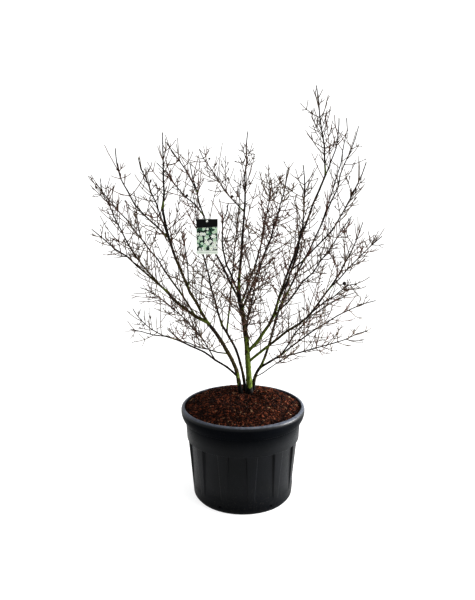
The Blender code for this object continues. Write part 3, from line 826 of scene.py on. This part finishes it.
def barkRelief(line, sides, strength):
    # Long low ridges with finer cracks between them, as shares of the radius.
    turns = turnsOf(sides)
    bumps = np.zeros((len(line.points), sides))
    for ring, (point, radius, along) in enumerate(zip(line.points, line.radii, line.along)):
        up = along / bark["ridgeLength"]
        for side, turn in enumerate(turns):
            spot = Vector((1.9 * math.cos(turn) + point[0] * 30, 1.9 * math.sin(turn), up))
            fine = noise.noise(Vector((spot.x * 2.3, spot.y * 2.3, up * 3.1)))
            ridge = noise.noise(spot) + bark["fineShare"] * fine
            bumps[ring, side] = radius * strength * ridge * bark["ridgeHeight"]
    return bumps


def barkTones(name, line, sides):
    # The material of each face: the side facing the light is painted greener and lighter, and the side away
    # from it near-black, as painted shade. Borders between the shades are broken up into patches.
    green, olive = greenReach.get(name, (0.0, 0.0))
    _ways, across, over = frameAlong(line.points)
    lightWay = np.array(bark["litSide"]) / np.linalg.norm(bark["litSide"])
    tones = np.zeros((len(line.points) - 1, sides), int)
    for ring in range(len(tones)):
        share = line.along[ring] / line.length
        point = line.points[ring]
        for side in range(sides):
            turn = (side + 0.5) * 2 * math.pi / sides
            out = math.cos(turn) * across[ring] + math.sin(turn) * over[ring]
            towardLight = float(out @ lightWay)
            spot = Vector(point) + Vector(out) * line.radii[ring]
            patch = noise.noise(spot / bark["patch"]) + 0.5 * noise.noise(spot / bark["mottle"])
            level = share + bark["wander"] * patch - 0.10 * min(towardLight, 0.3)
            nearSoil = name in stems and point[2] < soilTop + bark["stain"] * (1 + patch)
            # Painted shade: faces turned away from the light take the near-black bark, as does the damp bark
            # over the soil.
            if nearSoil or towardLight + 0.7 * patch < -0.50:
                tones[ring, side] = 3
            elif level < green:
                tones[ring, side] = 0 if towardLight + 0.8 * patch > -0.30 else 1
            elif level < olive:
                tones[ring, side] = 1 if towardLight + 1.5 * patch > -0.10 else 2
            else:
                tones[ring, side] = 2 if patch > -0.10 else 3
    return tones.ravel()


def limbGroup(name):
    # The stem that a limb stands on.
    while name in boughs:
        name = boughs[name][0]
    return name


def makeLimbs():
    finishes = makeBarkFinishes()
    groups = {name: Pile() for name in stems}
    stemPiles = {name: Pile() for name in stems}
    for name, line in grown.items():
        thick = line.radii[len(line.radii) // 3] * 2000
        sides = bark["sides"][0 if thick > 12 else 1 if thick > 8 else 2 if thick > 5 else 3]
        bumps = barkRelief(line, sides, 1.0 if thick > 8 else 0.7)
        pile = stemPiles[name] if name in stems else groups[limbGroup(name)]
        tube(pile, line.points, line.radii, sides, barkTones(name, line, sides), bumps)
    nodes = sorted(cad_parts)
    for stem, pile in stemPiles.items():
        made = pile.build(stem.split("_")[0] + "StemBark", finishes)
        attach(made, "root")
        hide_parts(stem)
    for stem, pile in groups.items():
        carried = [name + "_bough" for name in boughs if limbGroup(name) == stem and name + "_bough" in nodes]
        made = pile.build(stem.split("_")[0] + "BoughBark", finishes)
        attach(made, "root")
        if carried:
            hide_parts(*carried)


makeLimbs()
print("bark: stems and boughs")

# ---- twigs

twigs = {
    "seed": 23,
    # Opposite pairs on a limb, on a shoot and on a twiglet: metres between pairs, the chance that each of
    # a pair grows, lengths in metres, angles off the parent in degrees, thickness in mm, how strongly it
    # bends up, and sides
    "rules": [
        {"gap": 0.033, "keep": 0.78, "length": (0.045, 0.135), "angle": (38, 76), "thick": 3.1, "thin": 2.3,
         "curl": 0.60, "sides": 5},
        {"gap": 0.026, "keep": 0.46, "length": (0.014, 0.044), "angle": (38, 68), "thick": 2.5, "thin": 2.0,
         "curl": 0.50, "sides": 4},
        {"gap": 0.016, "keep": 0.12, "length": (0.006, 0.014), "angle": (28, 50), "thick": 2.1, "thin": 1.8,
         "curl": 0.40, "sides": 4},
    ],
    "overMass": (0.042, 0.042, 0.018),  # how far twigs reach out of the box of their mass, in metres
    "tipRoom": 0.007,  # metres that a tip stays inside the solids' own box, for its bud
    "mostOfParent": 0.55,  # a twig is at most this share of its parent's length
    "whips": {"count": (3, 5), "from": 0.55, "length": (0.070, 0.140), "angle": (16, 38), "thick": 3.2,
              "thin": 2.5, "curl": 0.45, "twiggy": 0.35},
    "step": 0.007,  # metres between a twig's points
    "kneeTurn": 0.055,  # how far it turns at each fourth of them
    "collar": 0.6,  # its foot is this much thicker, fading over the length below
    "collarLength": 0.003,
    "spray": 0.15,  # share of a limb whose pairs have one shade
    "labelRoom": 0.004,  # metres kept clear round the card, in a space that rises forwards by this slope
    "labelRise": 0.16,
    "bareFoot": 0.14,  # share of a shoot near its foot with no twiglets
    # Long fine shoots inside the crown, on the bare stretch of each limb
    "innerGap": 0.024,
    "innerLength": (0.08, 0.25),
    "innerAngle": (32, 74),
    "innerThick": (3.3, 2.3),
    "innerCurl": 0.34,
    # The chance that one grows, by the height of its foot in metres
    "innerHeights": (0.56, 0.62, 0.84, 1.05, 1.20),
    "innerChances": (0.0, 1.0, 1.0, 0.60, 0.30),
    # Places kept open, as (x, z, radius), right through from front to back
    "open": [(-0.048, 0.650, 0.036), (0.100, 0.545, 0.040), (-0.100, 0.560, 0.050)],
    # Limbs that grow more or fewer twigs than the rest
    "bushy": {
        "back_right": 2.6, "fore_right": 2.0, "leader": 1.4, "crossing": 1.1, "label_limb": 1.1,
        "back_rise": 1.5, "right_rise": 1.7, "tall_top": 1.2, "tall_side": 0.4, "right_mid": 1.5,
        "right_back_rise": 0.6, "right_back_fork": 0.5, "right_sweep": 0.9, "right_out_second": 0.7,
        "right_low_rise": 1.3, "right_low_long": 1.2, "right_out_low": 1.3, "outer_left": 1.9,
        "mid_left": 1.4, "far_left": 0.8, "upper_left": 1.1, "low_back": 1.8, "back_left_rise": 1.5,
        "low_left_end": 0.7, "front_left_top": 0.7, "label_side": 0.8, "label_back": 0.7, "low_fore": 1.9,
    },
    # Limbs with more or fewer of the inner shoots
    "within": {
        "tall_limb": 0.6, "right_rise": 0.6, "right_mid": 0.7, "right_sweep": 0.6, "back_low": 0.5,
        "right_back_rise": 0.5, "fore_limb": 0.7, "back_rise": 0.8, "back_left_rise": 1.4,
        "front_left": 1.2, "outer_left": 1.3, "mid_left": 1.2, "low_fore": 1.5,
        "fore_right": 1.5, "back_right": 1.4, "label_limb": 1.2,
    },
    "budLength": 0.0046,
    "budRadius": 0.00125,
    "tones": (0.45, 0.30, 0.25),  # how often a spray is umber, red-brown or grey
}


def growTwig(foot, way, length, thick, thin, curl, dice):
    # A shoot that bends up towards the light, with a slight knee at each joint.
    count = max(3, round(length / twigs["step"]))
    way = Vector(way)
    points = [Vector(foot)]
    upwards = Vector((0, 0, curl / count))
    for step in range(count):
        if step % 4 == 3:
            way = way + Vector([dice.gauss(0, twigs["kneeTurn"]) for _axis in range(3)])
        way = (way + upwards).normalized()
        points.append(points[-1] + way * (length / count))
    shares = np.linspace(0, 1, count + 1)
    radii = (thick + (thin - thick) * shares) / 2000
    radii = radii * (1 + twigs["collar"] * np.exp(-shares * length / twigs["collarLength"]))
    return Line(np.array(points), radii)


cardLow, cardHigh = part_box("label")


def crossesLabel(points):
    # The card hangs clear, so nothing grows in the space in front of it.
    x, y, z = points.T
    room, rise = twigs["labelRoom"], (cardHigh[1] - y) * twigs["labelRise"]
    inFront = y < cardHigh[1] + room / 2
    beside = (x > cardLow[0] - room) & (x < cardHigh[0] + room)
    level = (z > cardLow[2] - room + rise) & (z < cardHigh[2] + room + rise)
    return bool((inFront & beside & level).any())


def insideBox(points):
    low, high = np.array(cadBox[0]) + twigs["tipRoom"], np.array(cadBox[1]) - twigs["tipRoom"]
    return bool(((points > low) & (points < high)).all())


def inOpenPlace(points):
    for x, z, radius in twigs["open"]:
        if (np.hypot(points[:, 0] - x, points[:, 2] - z) < radius).any():
            return True
    return False


class TwigGrower:

    def __init__(self):
        self.dice = random.Random(twigs["seed"])
        self.made = []  # (line, sides, tone)
        self.tips = []
        self.room = None  # the low and high corners of the mass that is being filled

    def keep(self, line, sides, tone):
        if crossesLabel(line.points) or not insideBox(line.points) or inOpenPlace(line.points):
            return False
        if self.room and not ((line.points > self.room[0]) & (line.points < self.room[1])).all():
            return False
        self.made.append((line, sides, tone))
        self.tips.append((line.points[-1], unit(line.points[-1] - line.points[-2]), line.radii[-1]))
        return True

    def tone(self):
        return self.dice.choices((0, 1, 2), twigs["tones"])[0]

    def pairs(self, line, level, tone, start, end, bushy):
        # Opposite pairs, each turned a quarter from the last, shorter towards the tip.
        rule, dice = twigs["rules"][level], self.dice
        often = rule["keep"] * (bushy if level == 0 or bushy < 1 else 0.75 + 0.25 * bushy)
        count = line.length * (end - start) / rule["gap"] * max(1.0, often)
        count = int(count) + (dice.random() < count % 1)
        turn = dice.uniform(0, math.pi)
        for pair in range(count):
            share = start + (end - start) * (pair + dice.uniform(0.2, 0.8)) / count
            turn += math.pi / 2 + dice.gauss(0, 0.25)
            foot, way = line.at(share), line.way(share)
            side = unit(np.cross(way, (0.3, 0.9, 0.2)))
            over = np.cross(way, side)
            for half in (0, math.pi):
                if dice.random() > often:
                    continue
                angle = math.radians(dice.uniform(*rule["angle"]))
                out = side * math.cos(turn + half) + over * math.sin(turn + half)
                aim = way * math.cos(angle) + out * math.sin(angle)
                long = dice.uniform(*rule["length"]) * (1 - 0.5 * share ** 2)
                long = min(long, line.length * twigs["mostOfParent"])
                if long < 0.005:
                    continue
                thick = min(rule["thick"], line.radius(share) * 2000 * 0.95)
                child = growTwig(foot, aim, long, thick, min(rule["thin"], thick), rule["curl"], dice)
                if self.keep(child, rule["sides"], tone) and level + 1 < len(twigs["rules"]):
                    self.pairs(child, level + 1, tone, twigs["bareFoot"], 0.9, bushy)

    def whips(self, line, tone, bushy):
        # A limb ends in a few long smooth whips round its own tip.
        rule, dice = twigs["whips"], self.dice
        for _whip in range(round(dice.randint(*rule["count"]) * math.sqrt(bushy))):
            share = dice.uniform(rule["from"], 0.96)
            foot, way = line.at(share), line.way(share)
            side = unit(np.cross(way, (dice.gauss(0, 1), dice.gauss(0, 1), dice.gauss(0, 1))))
            angle = math.radians(dice.uniform(*rule["angle"])) * max(1.0, bushy * 0.75)
            aim = way * math.cos(angle) + side * math.sin(angle)
            thick = min(rule["thick"], line.radius(share) * 2000)
            long = dice.uniform(*rule["length"]) * min(1.0, line.length / 0.40)
            child = growTwig(foot, aim, long, thick, min(rule["thin"], thick), rule["curl"], dice)
            if self.keep(child, 5, tone):
                self.pairs(child, 1, tone, 0.15, 0.9, rule["twiggy"] * bushy ** 2)

    def inner(self, line, start, end, much):
        # Long fine shoots to all sides, rather flat, and bending up at their ends.
        dice = self.dice
        count = int(line.length * (end - start) / twigs["innerGap"] * much)
        turn = dice.uniform(0, 2 * math.pi)
        for place in range(count):
            share = start + (end - start) * (place + dice.random()) / count
            turn += 2.4 + dice.gauss(0, 0.3)
            foot, way = line.at(share), line.way(share)
            if dice.random() >= np.interp(foot[2], twigs["innerHeights"], twigs["innerChances"]):
                continue
            side = unit(np.cross(way, (0.3, 0.9, 0.2)))
            angle = math.radians(dice.uniform(*twigs["innerAngle"]))
            out = side * math.cos(turn) + np.cross(way, side) * math.sin(turn)
            aim = way * math.cos(angle) + out * math.sin(angle)
            outwards = aim[0] * math.copysign(1, foot[0])
            if aim[2] < 0.12 or (abs(foot[0]) > 0.22 and outwards > 0.72):
                continue
            long = dice.uniform(*twigs["innerLength"]) * (1.15 - 0.4 * share)
            widest, thinnest = twigs["innerThick"]
            thick = min(widest, line.radius(share) * 1800)
            child = growTwig(foot, aim, long, thick, min(thinnest, thick), twigs["innerCurl"], dice)
            tone = self.tone()
            if self.keep(child, 5, tone):
                self.pairs(child, 1, tone, twigs["bareFoot"], 0.9, much)


def makeTwigMaterial(name, colour, dark, roughness):
    made, tree, shader = newMaterial(name, colour, roughness, 1.45, 0.2)
    # Lenticels and scars: flecks about 2.5 mm apart.
    fleck = noiseOver(tree, objectCoordinates(tree), 2.5, 3.0)
    tree.links.new(ramp(tree, fleck, [(0.35, dark), (0.65, colour)]), shader.inputs["Base Color"])
    return made


def roomOf(name):
    # Where a limb's own twigs may reach: the box of its mass and a little more.
    if name + "_twigs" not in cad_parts:
        return None
    low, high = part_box(name + "_twigs")
    return np.array(low) - np.array(twigs["overMass"]), np.array(high) + np.array(twigs["overMass"])


def growTwigs():
    grower = TwigGrower()
    for name, line in grown.items():
        twigsFrom = boughs[name][-1] if name in boughs else 1
        bushy = twigs["bushy"].get(name, 1.0)
        grower.room = None
        grower.inner(line, 0.05, max(min(twigsFrom, 0.97), 0.55), twigs["within"].get(name, 1.0))
        grower.room = roomOf(name)
        if twigsFrom < 1:
            for part in np.arange(max(twigsFrom, 0.10), 1, twigs["spray"]):
                grower.pairs(line, 0, grower.tone(), part, min(part + twigs["spray"], 0.90), bushy)
            grower.whips(line, grower.tone(), bushy)
            grower.tips.append((line.points[-1], unit(line.points[-1] - line.points[-3]), line.radii[-1]))
    return grower


def makeTwigs(grower):
    # Year-old dogwood wood: thin, smooth and a little waxy, from near-black umber to dull red and grey.
    finishes = {
        "umber": makeTwigMaterial("umber twig bark", "#45311f", "#261a11", 0.62),
        "red": makeTwigMaterial("red-brown twig bark", "#57372a", "#301e16", 0.55),
        "grey": makeTwigMaterial("grey weathered twig bark", "#5c4c3b", "#372c22", 0.70),
    }
    places = {"Left": (-9, -0.12), "Middle": (-0.12, 0.14), "Right": (0.14, 9)}
    for tone, (shade, finish) in enumerate(finishes.items()):
        for place, (low, high) in places.items():
            pile = Pile()
            for line, sides, spray in grower.made:
                if spray == tone and low <= line.points[0][0] < high:
                    tube(pile, line.points, line.radii, sides)
            made = pile.build(shade + "Twigs" + place, [finish])
            print(made.name, len(made.data.polygons), "faces")
            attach(made, "root")
            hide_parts(*masses)


def makeBuds(grower):
    # Winter buds: dull, pointed, their scales nearly black, fatter where a flower waits.
    finish = makeTwigMaterial("winter bud scales", "#2a1a12", "#140c08", 0.5)
    dice = random.Random(twigs["seed"] + 1)
    shape = np.array([(0.0, 0.6), (0.38, 1.0), (0.85, 0.45)])
    pile = Pile()
    for point, way, radius in grower.tips:
        if not insideBox(np.array([point - way * 0.003])):
            continue
        size = dice.uniform(0.75, 1.2) * (1.5 if dice.random() < 0.10 else 1.0)
        places, wide = shape[:, 0] * twigs["budLength"] * size, shape[:, 1] * twigs["budRadius"] * size
        tube(pile, point + way * (places[:, None] - 0.0006), np.maximum(wide, radius * 0.5), 5)
    made = pile.build("winterBuds", [finish])
    print(made.name, len(made.data.polygons), "faces")
    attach(made, "root")
    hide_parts(*masses)


masses = sorted(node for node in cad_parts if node.endswith("_twigs"))
grower = growTwigs()
makeTwigs(grower)
makeBuds(grower)
print("twigs:", len(grower.made))

# ---- dried fruit

fruit = {
    # (limb, percent along it, bearing and climb of the stalk, its length and the fruit's size in mm)
    "places": [
        ("crossing", 24, -60, 20, 12, 11.0),
        ("crossing", 78, -40, 60, 22, 8.0),
        ("label_side", 36, -80, 30, 18, 11.0),
        ("right_low_fore", 80, -120, 60, 16, 14.0),
        ("back_right", 80, -40, 10, 30, 10.0),
    ],
    "stalkRadius": 0.0007,
    "sag": 0.002,  # metres that a stalk droops
    "rows": 9,
    "sides": 14,
}


def makeFruit():
    # Berries that dried on the plant: matt, wrinkled, black-brown.
    finish, tree, shader = newMaterial("dried berry skin", "#0b0806", 0.55, 1.45, 0.2)
    # Wrinkles about 1 mm apart, a little browner on their crests.
    wrinkle = noiseOver(tree, objectCoordinates(tree), 1, 2.0)
    tree.links.new(ramp(tree, wrinkle, [(0.4, "#070504"), (0.7, "#1a110c")]), shader.inputs["Base Color"])
    pile = Pile()
    for name, percent, bearing, climb, reach, size in fruit["places"]:
        line = grown[name]
        foot = line.at(percent / 100)
        way = heading(bearing, climb)
        shares = np.array([0, 0.35, 0.7, 1])[:, None]
        stalk = foot + way * reach / 1000 * shares + np.array([0, 0, -fruit["sag"]]) * shares ** 2
        tube(pile, stalk, np.full(4, fruit["stalkRadius"]), 5)
        centre = stalk[-1] + way * size / 2400
        rows, sides = fruit["rows"], fruit["sides"]
        turns = turnsOf(sides)
        places = np.sin((np.arange(rows) + 0.5) / rows * math.pi - math.pi / 2) * size / 2000
        wide = np.sqrt(np.maximum((size / 2000) ** 2 - places ** 2, 1e-9))
        creases = np.array([[noise.noise(Vector((3 * math.cos(t), 3 * math.sin(t), p * 900))) for t in turns]
                            for p in places]) * size / 9000
        tube(pile, centre + np.outer(places, way), wide, sides, 0, creases)
    made = pile.build("driedBerries", [finish])
    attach(made, "root")
    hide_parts(*masses)


makeFruit()
print("fruit")

# ---- the label

label = {
    "holeDrop": 0.008,
    "holeRadius": 0.003,
    "headerDepth": (0.0345, 0.0290),  # at the left and at the right edge
    "stripDepth": 0.0145,
    "margin": 0.0012,
    "layer": 0.00012,
    "cardSteps": 96,  # points round the card's outline and round its hole
    "outline": 10,  # points round a petal or a leaf
    "bed": (6, 6),  # rosettes across and up
    "rosetteRadius": (0.0056, 0.0098),
    "leaves": 30,
    "rule": (0.0072, 0.0080),  # the ruled line's lower and upper edge over the foot of the card
    "ruleInset": 0.006,
    "seed": 5,
}


def makePrint(name, colour, roughness=0.32):
    # Offset ink on polypropylene card: flat colour under a thin clear varnish.
    made, tree, shader = newMaterial(name, colour, roughness, 1.49, 0.15)
    # A faint mottle about 6 mm across.
    mottle = noiseOver(tree, objectCoordinates(tree), 6, 3.0)
    light = tuple(min(1.0, c * 1.12) for c in toLinear(colour)[:3]) + (1.0,)
    dark = tuple(c * 0.85 for c in toLinear(colour)[:3]) + (1.0,)
    tree.links.new(mixed(tree, mottle, dark, light), shader.inputs["Base Color"])
    return made


def makeLabel():
    inks = [
        makePrint("uncoated card face", "#dfe6dc"),
        makePrint("black header ink", "#020303", 0.5),
        makePrint("deep leaf-green ink", "#10261d"),
        makePrint("mid-green ink", "#3f6b50"),
        makePrint("pale mint ink", "#c4dcc6"),
        makePrint("white blossom ink", "#eef6ec"),
        makePrint("yellow-green ink", "#a9bd72"),
    ]
    low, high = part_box("label")
    middle = (low + high) / 2
    front, back = low.y, high.y
    pile = Pile()

    def flat(outline, depth, tone):
        # A printed shape: a thin closed slab whose face stands this far out from the card.
        count = len(outline)
        points = [(x, front - depth, z) for x, z in outline] + [(x, front + 0.0001, z) for x, z in outline]
        sides = [(i, i + count, (i + 1) % count + count, (i + 1) % count) for i in range(count)]
        fan = [(0, i, i + 1) for i in range(1, count - 1)]
        rear = [(count, count + i + 1, count + i) for i in range(1, count - 1)]
        pile.add(np.array(points, float), sides, fan + rear, tone)

    # The card: a rounded outline bridged to the hole, front and back.
    steps = label["cardSteps"]
    hole = Vector((middle.x, 0, high.z - label["holeDrop"]))
    outer, inner = [], []
    for step in range(steps):
        turn = 2 * math.pi * step / steps
        way = Vector((math.cos(turn), 0, math.sin(turn)))
        inner.append(hole + way * label["holeRadius"])
        reach = [((high.x if way.x > 0 else low.x) - hole.x) / way.x if abs(way.x) > 1e-6 else 9.0,
                 ((high.z if way.z > 0 else low.z) - hole.z) / way.z if abs(way.z) > 1e-6 else 9.0]
        outer.append(hole + way * min(reach))
    rings = []
    for ring, y in ((inner, front), (outer, front), (outer, back), (inner, back)):
        rings += [(p.x, y, p.z) for p in ring]
    corners = [(low.x, low.z), (high.x, low.z), (high.x, high.z), (low.x, high.z)]
    points = np.array(rings, float)
    for x, z in corners:  # the outline's nearest points are drawn to the true corners
        for start in (steps, 2 * steps):
            part = points[start:start + steps]
            near = np.hypot(part[:, 0] - x, part[:, 2] - z).argmin()
            part[near, 0], part[near, 2] = x, z
    pile.add(points, gridQuads(5, steps) % (4 * steps), [])  # the last ring joins the first

    left, right = low.x + label["margin"], high.x - label["margin"]
    headLeft, headRight = high.z - label["headerDepth"][0], high.z - label["headerDepth"][1]
    top = high.z - label["margin"] * 0.3
    # The header is cut round the hole: two flanks and a piece under it.
    slot = label["holeRadius"] + 0.0008

    def headEdge(x):
        return headLeft + (headRight - headLeft) * (x - low.x) / (high.x - low.x)

    near, far = hole.x - slot, hole.x + slot
    for start, end, head in ((low.x, near, top), (far, high.x, top), (near, far, hole.z - slot)):
        flat([(start, headEdge(start)), (end, headEdge(end)), (end, head), (start, head)], label["layer"], 1)
    flat([(near, hole.z + slot), (far, hole.z + slot), (far, top), (near, top)], label["layer"], 1)

    # The picture: a made-up bed of round six-petalled rosettes over leaves, dealt out by the dice.
    floor = low.z + label["stripDepth"]
    flat([(left, floor), (right, floor), (right, headEdge(right) - 0.0004), (left, headEdge(left) - 0.0004)],
         label["layer"], 2)
    dice = random.Random(label["seed"])

    def oval(x, z, turn, long, wide, lift, tone):
        # A petal or a leaf, cut off at the picture's edges.
        line = []
        for k in range(label["outline"]):
            a = 2 * math.pi * k / label["outline"]
            u, v = long * math.cos(a), wide * math.sin(a) * (1 - 0.25 * math.cos(a))
            p = min(max(x + u * math.cos(turn) - v * math.sin(turn), left), right)
            q = max(z + u * math.sin(turn) + v * math.cos(turn), floor)
            line.append((p, min(q, headEdge(p) - 0.0005)))
        flat(line, lift, tone)

    layer = label["layer"]
    for leaf in range(label["leaves"]):
        x, z = dice.uniform(left, right), dice.uniform(floor, headLeft)
        long = dice.uniform(0.004, 0.009)
        oval(x, z, dice.uniform(0, math.pi), long, long * 0.42, layer * (1.5 + leaf * 0.02), 3)
    across, up = label["bed"]
    for rosette in range(across * up):
        radius = dice.uniform(*label["rosetteRadius"])
        x = left + (rosette % across + 0.5 + dice.uniform(-0.5, 0.5)) * (right - left) / across
        z = floor + (rosette // across + 0.5 + dice.uniform(-0.5, 0.5)) * (headRight - floor) / up
        turn = dice.uniform(0, math.pi)
        tone = dice.choice((4, 4, 5))
        lift = layer * (2.2 + rosette * 0.06)
        for petal in range(6):
            a = turn + petal * math.pi / 3
            out = 0.55 * radius
            oval(x + out * math.cos(a), z + out * math.sin(a), a, radius * 0.46, radius * 0.27, lift, tone)
        oval(x, z, 0, radius * 0.2, radius * 0.2, lift + layer * 0.05, 6)
    # The strip under it: a plain pale band with a ruled line.
    start, end = left + label["ruleInset"], right - label["ruleInset"]
    foot, head = low.z + label["rule"][0], low.z + label["rule"][1]
    flat([(start, foot), (end, foot), (end, head), (start, head)], layer, 3)
    made = pile.build("labelCard", inks, smooth=False)
    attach(made, "root")
    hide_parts("label")

    # Clear nylon tie: the CAD shape is right, and only its finish changes.
    clear, tree, shader = newMaterial("clear nylon tie", "#d9dcd6", 0.25, 1.53)
    # Moulded nylon clouds a little in patches about 2 mm across.
    cloud = noiseOver(tree, objectCoordinates(tree), 2, 2.0)
    tree.links.new(ramp(tree, cloud, [(0.35, "#c9cdc6"), (0.65, "#e4e7e1")]), shader.inputs["Base Color"])
    shader.inputs["Transmission Weight"].default_value = 0.35
    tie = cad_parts["label_tie"]
    tie.data.materials.clear()
    tie.data.materials.append(clear)


makeLabel()
print("label")
